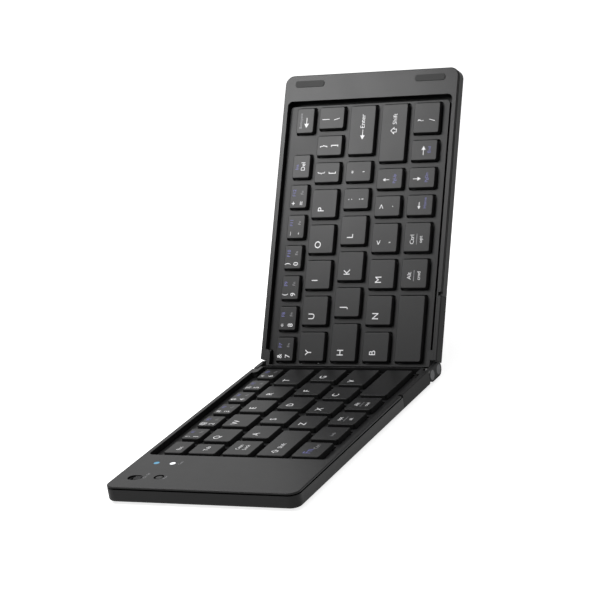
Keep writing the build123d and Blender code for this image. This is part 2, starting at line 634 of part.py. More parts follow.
# ---- the hinge's own pieces, drawn in the left half's frame ------------------------------
def hinge_yoke():
    """Two end plates on the pins, joined by a flat spine between the halves."""
    right_pin = -PIN_SPACING
    yoke = None
    inner = YOKE_INNER
    for front in (False, True):
        span = edge_span(YOKE_INSET, inner, front)
        plate = LEFT.box((right_pin, 0), span, (PIN_W - YOKE_RADIUS, PIN_W + YOKE_RADIUS))
        for u in (0.0, right_pin):
            plate += LEFT.rod_v(u, PIN_W, YOKE_RADIUS, span)
        web_edge = LUG_INNER + 0.6
        web = (right_pin / 2 - 1.1, right_pin / 2 + 1.1)
        web_w = (PIN_W - LUG_RADIUS, PIN_W - SPINE_DROP)
        plate += LEFT.box(web, edge_span(inner - 0.3, web_edge + 1, front), web_w)
        yoke = plate if yoke is None else yoke + plate
    spine_u = (right_pin + SPINE_CLEARANCE, -SPINE_CLEARANCE)
    spine_v = (LUG_INNER + 0.6, DEPTH - LUG_INNER - 0.6)
    spine_w = (-THICKNESS + SPINE_BOTTOM_CLEARANCE, PIN_W - SPINE_DROP)
    yoke += LEFT.box(spine_u, spine_v, spine_w)
    for front in (False, True):
        for u in (0.0, right_pin):
            yoke -= LEFT.rod_v(u, PIN_W, PIN_RADIUS, edge_span(-1, inner + 0.1, front))
            head = edge_span(-1, YOKE_INSET + PIN_HEAD + FIT, front)
            yoke -= LEFT.rod_v(u, PIN_W, PIN_HEAD_RADIUS + FIT, head)
    return yoke


def hinge_pins():
    """Four headed pins, pressed into the yoke plates and running in the lugs."""
    pins = []
    for front in (False, True):
        for u in (0.0, -PIN_SPACING):
            head = LEFT.rod_v(u, PIN_W, PIN_HEAD_RADIUS, edge_span(YOKE_INSET, YOKE_INSET + PIN_HEAD, front))
            shank = LEFT.rod_v(u, PIN_W, PIN_RADIUS, edge_span(YOKE_INSET + PIN_HEAD - 0.1, LUG_INNER, front))
            pins.append(head + shank)
    return pins


def flex_cable():
    """Flat cable on the spine, between the tails of the two contact sheets."""
    w = (RIBBON_W - RIBBON_THICKNESS / 2, RIBBON_W + RIBBON_THICKNESS / 2)
    return LEFT.box((TAIL_END - PIN_SPACING, -TAIL_END), ribbon_v(), w)


# ---- electrics of the left outer strip ---------------------------------------------------
def strip_u():
    """(low, high) u of the room inside the left outer strip."""
    return (window_end(LEFT) + STRIP_GAP, HALF_LENGTH - WALL - STRIP_GAP)


def control_board():
    """Circuit board with the slide switch's housing, the button's switch and a connector."""
    low, high = strip_u()
    board = LEFT.box((low, high), BOARD_V, (FLOOR_TOP, BOARD_TOP))
    housing_top = -SKIN - 0.9
    half_v = SWITCH_SLOT[1] / 2 + 0.8
    housing_u = (SWITCH_U - 1.9, SWITCH_U + 1.9)
    housing_v = (SWITCH_V - half_v, SWITCH_V + half_v)
    board += LEFT.box(housing_u, housing_v, (BOARD_TOP, housing_top))
    groove_u = (SWITCH_U - SLIDER_STEM / 2 - 0.1, SWITCH_U + SLIDER_STEM / 2 + 0.1)
    groove_v = (SWITCH_V - SWITCH_SLOT[1] / 2, SWITCH_V + SWITCH_SLOT[1] / 2)
    board -= LEFT.box(groove_u, groove_v, (housing_top - 1.0, housing_top + 1))
    connector_u = (CONNECTOR_U, CONNECTOR_U + CONNECTOR_SIZE[0])
    connector_v = (CONTACT_TAIL_V - CONNECTOR_SIZE[1] / 2, CONTACT_TAIL_V + CONNECTOR_SIZE[1] / 2)
    board += LEFT.box(connector_u, connector_v, (BOARD_TOP, BOARD_TOP + CONNECTOR_SIZE[2]))
    tact_v = (BUTTON_V - 1.7, BUTTON_V + 1.7)
    tact_top = -SKIN - 1.2
    return board + LEFT.box((BUTTON_U - 1.7, BUTTON_U + 1.7), tact_v, (BOARD_TOP, tact_top))


def switch_slider():
    """Ribbed thumb piece of the power switch, at the off end of its slot."""
    v = SWITCH_V + SWITCH_TRAVEL / 2
    half_u, half_v = SLIDER_SIZE[0] / 2, SLIDER_SIZE[1] / 2
    u_span = (SWITCH_U - half_u, SWITCH_U + half_u)
    base_w = -SWITCH_RECESS_DEPTH + 0.1
    knob = LEFT.box(u_span, (v - half_v, v + half_v), (base_w, -0.1))
    for step in (-1, 0, 1):
        middle = v + step * 0.8
        knob -= LEFT.box((u_span[0] - 1, u_span[1] + 1), (middle - 0.15, middle + 0.15), (-0.3, 0))
    stem = SLIDER_STEM / 2
    stem_w = (-SKIN - 1.6, base_w + 0.1)
    return knob + LEFT.box((SWITCH_U - stem, SWITCH_U + stem), (v - stem, v + stem), stem_w)


def pairing_button():
    """Round push button over its tact switch."""
    top = -0.2
    bottom = -SKIN - 0.7
    flange_w = (bottom, -SKIN - 0.1)
    button = LEFT.rod_w(BUTTON_U, BUTTON_V, BUTTON_RADIUS, (bottom, top))
    return button + LEFT.rod_w(BUTTON_U, BUTTON_V, BUTTON_RADIUS + 0.6, flange_w)


def indicator_lenses():
    """Two clear pins that carry light from the board to the top face."""
    return [LEFT.rod_w(LENS_U, v, LENS_RADIUS, (BOARD_TOP, -0.05)) for v in LENS_V]


def charging_port():
    """Metal socket on the board's back edge, open towards the back."""
    width, length, height = PORT_SIZE
    u = (PORT_U - width / 2, PORT_U + width / 2)
    v = (0.6, 0.6 + length)
    w = (BOARD_TOP, BOARD_TOP + height)
    port = LEFT.slab(u, v, w, 0.6)
    mouth_u = (PORT_U - PORT_MOUTH[0] / 2, PORT_U + PORT_MOUTH[0] / 2)
    middle = (w[0] + w[1]) / 2
    mouth_w = (middle - PORT_MOUTH[1] / 2, middle + PORT_MOUTH[1] / 2)
    port -= LEFT.box(mouth_u, (0, v[0] + PORT_DEPTH), mouth_w)
    tongue_u = (PORT_U - PORT_MOUTH[0] / 2 + 1.5, PORT_U + PORT_MOUTH[0] / 2 - 1.5)
    return port + LEFT.box(tongue_u, (v[0] + 1.2, v[0] + PORT_DEPTH + 0.1), (middle - 0.25, middle + 0.25))


def battery():
    """Flat lithium cell in the outer strip."""
    low, high = strip_u()
    u = (low + BATTERY_SIDE_GAP, high - BATTERY_SIDE_GAP)
    return LEFT.slab(u, BATTERY_V, (FLOOR_TOP, FLOOR_TOP + BATTERY_THICKNESS), 1.0)


# ---- writing the nodes ---------------------------------------------------------------
def save(name, shapes, place):
    """Write one node: a shape or a list of separate shapes, moved to its place."""
    shapes = shapes if isinstance(shapes, list) else [shapes]
    solids = [place * solid for shape in shapes for solid in shape.solids()]
    node = solids[0] if len(solids) == 1 else Compound(children=solids)
    node.label = name
    export_step(node, f"parts/{name}.step")


def build_half(half):
    """Write every node that both halves have."""
    arms = [hinge_arm(half, front) for front in (False, True)]
    for name, shape in (
        ("top_frame", top_frame(half)),
        ("bottom_cover", bottom_cover(half)),
        ("key_plate", key_plate(half)),
        ("dome_sheet", dome_sheet(half)),
        ("membrane", membrane(half)),
        ("backing_plate", backing_plate(half)),
        ("hinge_arms", arms),
        ("screws", screws(half)),
        ("feet", feet(half)),
    ):
        save(f"{half.name}_{name}", shape, half.place)
    places = cap_places(half)
    for node, names in KEY_NODES[half].items():
        save(node, [key_cap(half, *places[name]) for name in names], half.place)


def build():
    """Write every node of the keyboard."""
    for half in HALVES:
        build_half(half)
    for name, shape in (
        ("hinge_yoke", hinge_yoke()),
        ("hinge_pins", hinge_pins()),
        ("flex_cable", flex_cable()),
        ("control_board", control_board()),
        ("switch_slider", switch_slider()),
        ("pairing_button", pairing_button()),
        ("indicator_lenses", indicator_lenses()),
        ("charging_port", charging_port()),
        ("battery", battery()),
    ):
        save(name, shape, LEFT.place)
    pads = [pad_block(v, (-PAD_SOCKET, PAD_PROUD)) for v in PAD_V]
    save("rubber_pads", pads, RIGHT.place)
    left_pin = -ORIGIN_X
    print(f"left pin x {left_pin:.4f}, right pin x {left_pin + PIN_SPACING:.4f}, z {RIM_Z + PIN_W:.4f}")


build()
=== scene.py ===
"""Folding keyboard, half open: finishes, legends, rubber domes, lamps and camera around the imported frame.

Each half is described lying flat, in millimetres:
  u  distance from the half's hinge end towards its outer end
  v  distance from the back edge (number row side) towards the front edge (space bar side)
  w  height above the rim plane
Printed marks are placed in reading coordinates of a half: r to the reader's right, y away from the
reader, w up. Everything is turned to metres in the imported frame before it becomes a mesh.
"""
import json
import logging
import math
from dataclasses import dataclass
from enum import Enum

import bmesh
import bpy
from mathutils import Matrix, Vector

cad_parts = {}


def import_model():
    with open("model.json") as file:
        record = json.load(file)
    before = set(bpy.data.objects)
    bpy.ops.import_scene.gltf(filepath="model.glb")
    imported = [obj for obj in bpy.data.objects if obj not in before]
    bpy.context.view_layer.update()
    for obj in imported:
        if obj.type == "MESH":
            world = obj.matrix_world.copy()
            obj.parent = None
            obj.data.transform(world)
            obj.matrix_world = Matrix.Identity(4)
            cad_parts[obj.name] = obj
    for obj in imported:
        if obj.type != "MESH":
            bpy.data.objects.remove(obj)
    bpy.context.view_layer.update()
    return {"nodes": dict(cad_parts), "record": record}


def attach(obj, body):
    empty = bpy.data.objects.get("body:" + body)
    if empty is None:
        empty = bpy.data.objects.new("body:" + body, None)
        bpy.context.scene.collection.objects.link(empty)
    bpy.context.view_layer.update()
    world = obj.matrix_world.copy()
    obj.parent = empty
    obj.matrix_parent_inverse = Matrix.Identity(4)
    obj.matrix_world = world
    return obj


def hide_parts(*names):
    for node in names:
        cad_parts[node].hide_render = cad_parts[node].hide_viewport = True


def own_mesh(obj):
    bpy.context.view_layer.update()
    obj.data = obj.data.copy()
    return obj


LOG = logging.getLogger("keyboard")

MM = 0.001

# ---- sizes shared with the solids, millimetres --------------------------------------------
HALF_LENGTH = 143.0
DEPTH = 91.0
FOLD_DEGREES = 59.14
LEFT_PIN_X = 29.8452
PIN_SPACING = 7.4
RIM_Z = 8.0
PIN_W = -3.5
CAP_TOP = 0.4
KEY_PITCH = 17.3
NUMBER_PITCH = 14.85
NARROW_PITCH = 13.25
ROW_PITCH = 16.58
ROW_DEPTH = 13.2
NUMBER_ROW_DEPTH = 9.2
NUMBER_ROW_FRONT = 17.0
LETTER_ROWS_FRONT = 16.5
KEY_SPACING = 3.4
FIELD_START = 2.65
LEFT_FIELD_END = 104.3
RIGHT_FIELD_END = 126.4
LEFT_STAGGER = 4.6
RIGHT_STAGGER = 3.95
LEFT_SPACE_LENGTH = 30.85
BACKSPACE_LENGTH = 12.4
LENS_V = (11.5, 19.4)

# ---- printing -------------------------------------------------------------------------------
INK_THICKNESS = 0.012      # how thick a printed mark is
INK_SINK = 0.004           # how far it goes into the face it is printed on

# ---- materials ------------------------------------------------------------------------------
BUMP_STRENGTH = 0.5
PAINTED_WALL_SHADE = 0.3           # painted shade: part of a plastic's colour that stays on its walls, so they look darker than the top faces
WALL_UP = 0.88             # a face this much along its half's up direction still counts as wall
FACE_UP = 0.98             # and from here on as a top face
LENS_GLOW = 0.35           # strength of the light pipes' own light
WHITE = (1.0, 1.0, 1.0, 1.0)

Cap = tuple[tuple[float, float], tuple[float, float]]


class Side(Enum):
    """The two halves of the keyboard."""

    LEFT = "left"
    RIGHT = "right"


class Ink(Enum):
    """Colours that the legends are printed in."""

    WHITE = "white"
    BLUE = "blue"
    GREY = "grey"


class Arrow(Enum):
    """Directions of a drawn arrow, as an angle in degrees from the reader's right."""

    RIGHT = 0
    UP = 90
    LEFT = 180
    DOWN = 270


@dataclass(frozen=True)
class HalfSpace:
    """Reading coordinates of one half: r to the reader's right, y away from the reader, w up.

    Attributes:
        side: Which half it is.
        body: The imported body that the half's fixed pieces belong to.
    """

    side: Side
    body: str

    @property
    def matrix(self) -> Matrix:
        """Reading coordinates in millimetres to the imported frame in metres."""
        if self.side is Side.LEFT:
            turned = Matrix.Translation((LEFT_PIN_X, 0.0, RIM_Z))
        else:
            angle = math.radians(FOLD_DEGREES)
            end_x = LEFT_PIN_X + PIN_SPACING + PIN_W * math.sin(angle)
            end_z = RIM_Z + PIN_W - PIN_W * math.cos(angle)
            turned = Matrix.Translation((end_x, 0.0, end_z)) @ Matrix.Rotation(-angle, 4, "Y")
        return Matrix.Scale(MM, 4) @ turned

    def reading_r(self, u: float) -> float:
        """Reading coordinate r of a distance from the hinge end."""
        return -u if self.side is Side.LEFT else u

    def cap_corner(self, cap: Cap) -> tuple[float, float]:
        """(r, y) of a cap's corner at the reader's left and furthest from the reader."""
        (u_low, u_high), (v_back, _) = cap
        left = min(self.reading_r(u_low), self.reading_r(u_high))
        return left, DEPTH / 2 - v_back


LEFT_SPACE = HalfSpace(Side.LEFT, "left_half")
RIGHT_SPACE = HalfSpace(Side.RIGHT, "right_half")


# ---- key layout -----------------------------------------------------------------------------
def row_span(row: int) -> tuple[float, float]:
    """(back, front) v of the caps in a row; row 0 is the shallow number row."""
    if row == 0:
        return NUMBER_ROW_FRONT - NUMBER_ROW_DEPTH, NUMBER_ROW_FRONT
    front = LETTER_ROWS_FRONT + row * ROW_PITCH
    return front - ROW_DEPTH, front


def run(names: str | tuple[str, ...], start: float, pitch: float) -> dict[str, tuple[float, float]]:
    """Names of equal caps and their (start, end) in u, one pitch apart."""
    return {n: (start + i * pitch, start + (i + 1) * pitch - KEY_SPACING) for i, n in enumerate(names)}


def left_rows() -> tuple[dict[str, tuple[float, float]], ...]:
    """Caps of the left half, row by row, from the hinge outwards."""
    first = FIELD_START
    cap = KEY_PITCH - KEY_SPACING
    wide = first + cap + LEFT_STAGGER
    space_end = first + LEFT_SPACE_LENGTH
    rows = (
        run("654321", first, NUMBER_PITCH),
        {"t": (first, wide)} | run("rewq", wide + KEY_SPACING, KEY_PITCH),
        run("gfdsa", first, KEY_PITCH),
        {"v": (first, wide)} | run("cxz", wide + KEY_SPACING, KEY_PITCH),
        {"space": (first, space_end)}
        | run(("alt", "option", "function_lock"), space_end + KEY_SPACING, KEY_PITCH),
    )
    for row, outer in zip(rows, ("esc", "tab", "caps", "shift", "fn")):
        row[outer] = (max(high for _, high in row.values()) + KEY_SPACING, LEFT_FIELD_END)
    return rows


def right_rows() -> tuple[dict[str, tuple[float, float]], ...]:
    """Caps of the right half, row by row, from the hinge outwards."""
    first, end = FIELD_START, RIGHT_FIELD_END
    brackets = first + 5 * KEY_PITCH
    arrows = first + 4 * KEY_PITCH
    wide = first + KEY_PITCH - KEY_SPACING + RIGHT_STAGGER
    return (
        run(("7", "8", "9", "0", "minus", "equals", "delete"), first, NUMBER_PITCH)
        | {"backspace": (end - BACKSPACE_LENGTH, end)},
        run("yuiop", first, KEY_PITCH)
        | run(("open_bracket", "close_bracket"), brackets, NARROW_PITCH)
        | {"backslash": (brackets + 2 * NARROW_PITCH, end)},
        {"h": (first, wide)}
        | run("jkl", wide + KEY_SPACING, KEY_PITCH)
        | {"semicolon": (wide + KEY_SPACING + 3 * KEY_PITCH, brackets - KEY_SPACING)}
        | run(("quote",), brackets, NARROW_PITCH)
        | {"enter": (brackets + NARROW_PITCH, end)},
        run(("b", "n", "m", "comma"), first, KEY_PITCH)
        | run(("period", "up"), arrows, NARROW_PITCH)
        | {"shift": (arrows + 2 * NARROW_PITCH, end)},
        {"space": (first, first + 2 * KEY_PITCH - KEY_SPACING)}
        | run(("alt", "ctrl"), first + 2 * KEY_PITCH, KEY_PITCH)
        | run(("left", "down", "right"), arrows, NARROW_PITCH)
        | {"slash": (arrows + 3 * NARROW_PITCH, end)},
    )


def cap_places(side: Side) -> dict[str, Cap]:
    """Every cap of a half: name to ((u low, u high), (v back, v front))."""
    rows = left_rows() if side is Side.LEFT else right_rows()
    return {name: (span, row_span(i)) for i, row in enumerate(rows) for name, span in row.items()}


# ---- finishes -------------------------------------------------------------------------------
def rgba(colour: tuple[float, float, float]) -> tuple[float, float, float, float]:
    """A linear colour with full alpha."""
    return (*colour, 1.0)


class EffectGroups:
    """Node groups that several materials share, each built once."""

    def __init__(self) -> None:
        """Build every shared effect."""
        self.grain = self._grain()
        self.tone = self._tone()
        self.facing = self._facing()

    @staticmethod
    def _new(name: str, inputs: dict[str, float], outputs: dict[str, str]) -> bpy.types.NodeTree:
        """Start a group with a vector input, float inputs and typed outputs.

        Args:
            name: Name of the group.
            inputs: Float inputs and their defaults.
            outputs: Outputs and their socket types.

        Returns:
            The new node tree.
        """
        tree = bpy.data.node_groups.new(name, "ShaderNodeTree")
        tree.interface.new_socket("Vector", in_out="INPUT", socket_type="NodeSocketVector")
        for label, default in inputs.items():
            socket = tree.interface.new_socket(label, in_out="INPUT", socket_type="NodeSocketFloat")
            socket.default_value = default
        for label, kind in outputs.items():
            tree.interface.new_socket(label, in_out="OUTPUT", socket_type=kind)
        return tree

    def _grain(self) -> bpy.types.NodeTree:
        """Fine moulded grain: a height for bump and a mask that varies the gloss."""
        tree = self._new(
            "moulded_grain",
            {"Scale": 4000.0, "Patch": 60.0},
            {"Height": "NodeSocketFloat", "Mask": "NodeSocketFloat"},
        )
        nodes, links = tree.nodes, tree.links
        entry = nodes.new("NodeGroupInput")
        leave = nodes.new("NodeGroupOutput")
        fine = nodes.new("ShaderNodeTexNoise")
        fine.inputs["Detail"].default_value = 3.0
        fine.inputs["Roughness"].default_value = 0.6
        pits = nodes.new("ShaderNodeTexVoronoi")
        patch = nodes.new("ShaderNodeTexNoise")
        patch.inputs["Detail"].default_value = 4.0
        mix = nodes.new("ShaderNodeMath")
        mix.operation = "MULTIPLY_ADD"
        mix.inputs[1].default_value = 0.5
        for texture in (fine, pits, patch):
            links.new(entry.outputs["Vector"], texture.inputs["Vector"])
        links.new(entry.outputs["Scale"], fine.inputs["Scale"])
        links.new(entry.outputs["Scale"], pits.inputs["Scale"])
        links.new(entry.outputs["Patch"], patch.inputs["Scale"])
        links.new(pits.outputs["Distance"], mix.inputs[0])
        links.new(fine.outputs["Fac"], mix.inputs[2])
        links.new(mix.outputs[0], leave.inputs["Height"])
        links.new(patch.outputs["Fac"], leave.inputs["Mask"])
        return tree

    def _tone(self) -> bpy.types.NodeTree:
        """Slow variation of a colour's brightness around one."""
        tree = self._new("slow_tone", {"Scale": 25.0, "Amount": 0.1}, {"Gain": "NodeSocketFloat"})
        nodes, links = tree.nodes, tree.links
        entry = nodes.new("NodeGroupInput")
        leave = nodes.new("NodeGroupOutput")
        noise = nodes.new("ShaderNodeTexNoise")
        noise.inputs["Detail"].default_value = 5.0
        centre = nodes.new("ShaderNodeMath")
        centre.operation = "SUBTRACT"
        centre.inputs[1].default_value = 0.5
        gain = nodes.new("ShaderNodeMath")
        gain.operation = "MULTIPLY_ADD"
        gain.inputs[2].default_value = 1.0
        links.new(entry.outputs["Vector"], noise.inputs["Vector"])
        links.new(entry.outputs["Scale"], noise.inputs["Scale"])
        links.new(noise.outputs["Fac"], centre.inputs[0])
        links.new(centre.outputs[0], gain.inputs[0])
        links.new(entry.outputs["Amount"], gain.inputs[1])
        links.new(gain.outputs[0], leave.inputs["Gain"])
        return tree

    def _facing(self) -> bpy.types.NodeTree:
        """One on faces that look along either half's own up direction, zero on walls; it places the painted
        wall shade and the walls' roughness.
        """
        tree = self._new("key_face_mask", {}, {"Mask": "NodeSocketFloat"})
        nodes, links = tree.nodes, tree.links
        entry = nodes.new("NodeGroupInput")
        leave = nodes.new("NodeGroupOutput")
        either = nodes.new("ShaderNodeMath")
        either.operation = "MAXIMUM"
        for index, space in enumerate((LEFT_SPACE, RIGHT_SPACE)):
            along = nodes.new("ShaderNodeVectorMath")
            along.operation = "DOT_PRODUCT"
            along.inputs[1].default_value = space.matrix.to_3x3().col[2].normalized()
            links.new(entry.outputs["Vector"], along.inputs[0])
            links.new(along.outputs["Value"], either.inputs[index])
        step = nodes.new("ShaderNodeMapRange")
        step.inputs["From Min"].default_value = WALL_UP
        step.inputs["From Max"].default_value = FACE_UP
        links.new(either.outputs[0], step.inputs["Value"])
        links.new(step.outputs["Result"], leave.inputs["Mask"])
        return tree


@dataclass(frozen=True)
class Finish:
    """A surface finish with moulded grain.

    Attributes:
        name: Name of the material.
        colour: Linear base colour.
        roughness: Middle of the gloss variation.
        spread: How much the roughness varies from patch to patch.
        metallic: 1 for bare metal.
        specular: Strength of the surface reflection.
        grain_scale: Cells of the grain per metre.
        bump: Height of the grain, metres.
        tone: How much the brightness drifts over the surface.
        shaded_wall_roughness: Roughness of the walls, or 0; when set, the walls also get painted shade,
            darker than the top faces.
    """

    name: str
    colour: tuple[float, float, float]
    roughness: float = 0.5
    spread: float = 0.08
    metallic: float = 0.0
    specular: float = 0.5
    grain_scale: float = 3500.0
    bump: float = 0.00001
    tone: float = 0.12
    shaded_wall_roughness: float = 0.0

    def _set_wall_shade_and_roughness(
        self, material: bpy.types.Material, effects: EffectGroups, socket: str, at_wall: float
    ) -> None:
        """Bring what drives a socket to another value on the walls; on the base colour this paints shade on
        them.

        Args:
            material: The material.
            effects: The shared node groups.
            socket: Name of the shader's input.
            at_wall: Its value on the walls, or for the base colour the part of its colour that stays there
                as painted shade.
        """
        nodes, links = material.node_tree.nodes, material.node_tree.links
        target = nodes["Principled BSDF"].inputs[socket]
        source = target.links[0].from_socket
        facing = nodes.new("ShaderNodeGroup")
        facing.node_tree = effects.facing
        links.new(nodes["Texture Coordinate"].outputs["Normal"], facing.inputs["Vector"])
        mix = nodes.new("ShaderNodeMix")
        mix.data_type = "RGBA" if socket == "Base Color" else "FLOAT"
        plain = at_wall
        if mix.data_type == "RGBA":
            plain = rgba(tuple(channel * at_wall for channel in self.colour))
        ends = [item for item in mix.inputs if item.enabled]
        ends[1].default_value = plain
        links.new(facing.outputs["Mask"], ends[0])
        links.new(source, ends[2])
        links.new(next(item for item in mix.outputs if item.enabled), target)

    def build(self, effects: EffectGroups) -> bpy.types.Material:
        """Make the material.

        Args:
            effects: The shared node groups.

        Returns:
            The finished material.
        """
        material = bpy.data.materials.new(self.name)
        material.use_nodes = True
        nodes, links = material.node_tree.nodes, material.node_tree.links
        nodes.clear()
        out = nodes.new("ShaderNodeOutputMaterial")
        shader = nodes.new("ShaderNodeBsdfPrincipled")
        links.new(shader.outputs["BSDF"], out.inputs["Surface"])
        shader.inputs["Metallic"].default_value = self.metallic
        shader.inputs["Specular IOR Level"].default_value = self.specular
        place = nodes.new("ShaderNodeTexCoord")
        grain = nodes.new("ShaderNodeGroup")
        grain.node_tree = effects.grain
        grain.inputs["Scale"].default_value = self.grain_scale
        tone = nodes.new("ShaderNodeGroup")
        tone.node_tree = effects.tone
        tone.inputs["Amount"].default_value = self.tone
        for group in (grain, tone):
            links.new(place.outputs["Object"], group.inputs["Vector"])
        base = nodes.new("ShaderNodeVectorMath")
        base.operation = "SCALE"
        base.inputs[0].default_value = self.colour
        links.new(tone.outputs["Gain"], base.inputs["Scale"])
        links.new(base.outputs[0], shader.inputs["Base Color"])
        gloss = nodes.new("ShaderNodeMath")
        gloss.operation = "MULTIPLY_ADD"
        gloss.inputs[1].default_value = self.spread
        gloss.inputs[2].default_value = self.roughness - self.spread / 2
        links.new(grain.outputs["Mask"], gloss.inputs[0])
        links.new(gloss.outputs[0], shader.inputs["Roughness"])
        bump = nodes.new("ShaderNodeBump")
        bump.inputs["Strength"].default_value = BUMP_STRENGTH
        bump.inputs["Distance"].default_value = self.bump
        links.new(grain.outputs["Height"], bump.inputs["Height"])
        links.new(bump.outputs["Normal"], shader.inputs["Normal"])
        if self.shaded_wall_roughness:
            # painted shade: the walls get a darker copy of the colour, and a duller roughness
            self._set_wall_shade_and_roughness(material, effects, "Base Color", PAINTED_WALL_SHADE)
            self._set_wall_shade_and_roughness(material, effects, "Roughness", self.shaded_wall_roughness)
        return material


# case, deck, key and arm carry painted shade on their walls
FINISHES = {
    "case": Finish("case_plastic", (0.008, 0.008, 0.0083), 0.37, specular=0.2, shaded_wall_roughness=0.52),
    "deck": Finish("deck_plastic", (0.007, 0.007, 0.0073), 0.39, specular=0.17, shaded_wall_roughness=0.95),
    "key": Finish("keycap_plastic", (0.008, 0.008, 0.0083), 0.38, specular=0.2, grain_scale=4500.0,
                  shaded_wall_roughness=0.95),
    "arm": Finish("painted_arm", (0.008, 0.008, 0.0083), 0.4, specular=0.2, shaded_wall_roughness=0.7),
    "steel": Finish("blackened_steel", (0.028, 0.028, 0.03), 0.3, metallic=1.0, bump=0.000004),
    "rubber": Finish("rubber", (0.018, 0.018, 0.018), 0.7, specular=0.3, grain_scale=2500.0,
                     bump=0.00003),
    "dome": Finish("silicone", (0.012, 0.012, 0.0125), 0.7, specular=0.2),
    "film": Finish("printed_film", (0.02, 0.018, 0.015), 0.5, specular=0.2, bump=0.000002),
    "backing": Finish("rolled_sheet", (0.45, 0.45, 0.46), 0.4, metallic=1.0, bump=0.000003),
    "board": Finish("solder_mask", (0.01, 0.06, 0.03), 0.35),
    "control": Finish("control_plastic", (0.01, 0.01, 0.0105), 0.5, specular=0.3),
    "lens": Finish("lens_plastic", (0.6, 0.65, 0.7), 0.2),
    "cell": Finish("foil_pouch", (0.4, 0.41, 0.42), 0.35, metallic=1.0),
}
INKS = {
    Ink.WHITE: Finish("white_ink", (0.66, 0.66, 0.67), 0.55, bump=0.000002, tone=0.08),
    Ink.BLUE: Finish("blue_ink", (0.09, 0.09, 0.27), 0.55, bump=0.000002, tone=0.08),
    Ink.GREY: Finish("grey_ink", (0.2, 0.2, 0.21), 0.55, bump=0.000002, tone=0.08),
}
LIT_BLUE = (0.03, 0.2, 0.34)
LIT_WHITE = (0.9, 0.92, 0.95)
LIT_EDGE = MM * (DEPTH / 2 - sum(LENS_V) / 2)      # frame Y between the blue light and the white one


def light_lenses(material: bpy.types.Material) -> None:
    """Make one of the two light pipes glow blue and the other white.

    Args:
        material: The finish of the light pipes.
    """
    nodes, links = material.node_tree.nodes, material.node_tree.links
    shader = nodes["Principled BSDF"]
    place = nodes["Texture Coordinate"]
    split = nodes.new("ShaderNodeSeparateXYZ")
    side = nodes.new("ShaderNodeMath")
    side.operation = "GREATER_THAN"
    side.inputs[1].default_value = LIT_EDGE
    glow = nodes.new("ShaderNodeMix")
    glow.data_type = "RGBA"
    glow.inputs["A"].default_value = rgba(LIT_WHITE)
    glow.inputs["B"].default_value = rgba(LIT_BLUE)
    links.new(place.outputs["Object"], split.inputs[0])
    links.new(split.outputs["Y"], side.inputs[0])
    links.new(side.outputs[0], glow.inputs["Factor"])
    for socket in ("Base Color", "Emission Color"):
        links.new(glow.outputs["Result"], shader.inputs[socket])
    shader.inputs["Emission Strength"].default_value = LENS_GLOW


class Palette:
    """Every material of the scene, built once."""

    def __init__(self) -> None:
        """Build the shared effects and the materials."""
        effects = EffectGroups()
        self.finishes = {slot: finish.build(effects) for slot, finish in FINISHES.items()}
        self.inks = {ink: finish.build(effects) for ink, finish in INKS.items()}
        light_lenses(self.finishes["lens"])

    def dress(self, obj: bpy.types.Object, material: bpy.types.Material) -> None:
        """Give an object one material in all its slots."""
        if not obj.data.materials:
            obj.data.materials.append(material)
        for slot in obj.material_slots:
            slot.material = material


# ---- printed marks --------------------------------------------------------------------------
@dataclass(frozen=True)
class Word:
    """A word or sign printed on a face.

    Attributes:
        text: What it says.
        right: Middle of the word, millimetres right of the cap's left edge.
        down: Middle of the word, millimetres below the cap's far edge.
        size: Height of a capital letter, millimetres.
        ink: Its colour.
    """

    text: str
    right: float
    down: float
    size: float = 2.3
    ink: Ink = Ink.WHITE


@dataclass(frozen=True)
class Stroke:
    """A drawn line with an even width.

    Attributes:
        points: (right, down) millimetres from the cap's far left corner.
        width: Width of the line.
        ink: Its colour.
    """

    points: tuple[tuple[float, float], ...]
    width: float = 0.3
    ink: Ink = Ink.WHITE


@dataclass(frozen=True)
class Pointer:
    """An arrow with a filled head.

    Attributes:
        right: Middle of the arrow, millimetres right of the cap's left edge.
        down: Middle of the arrow, millimetres below the cap's far edge.
        arrow: The way it points.
        length: Length of the arrow.
        ink: Its colour.
    """

    right: float
    down: float
    arrow: Arrow
    length: float = 3.2
    ink: Ink = Ink.WHITE


Mark = Word | Stroke | Pointer


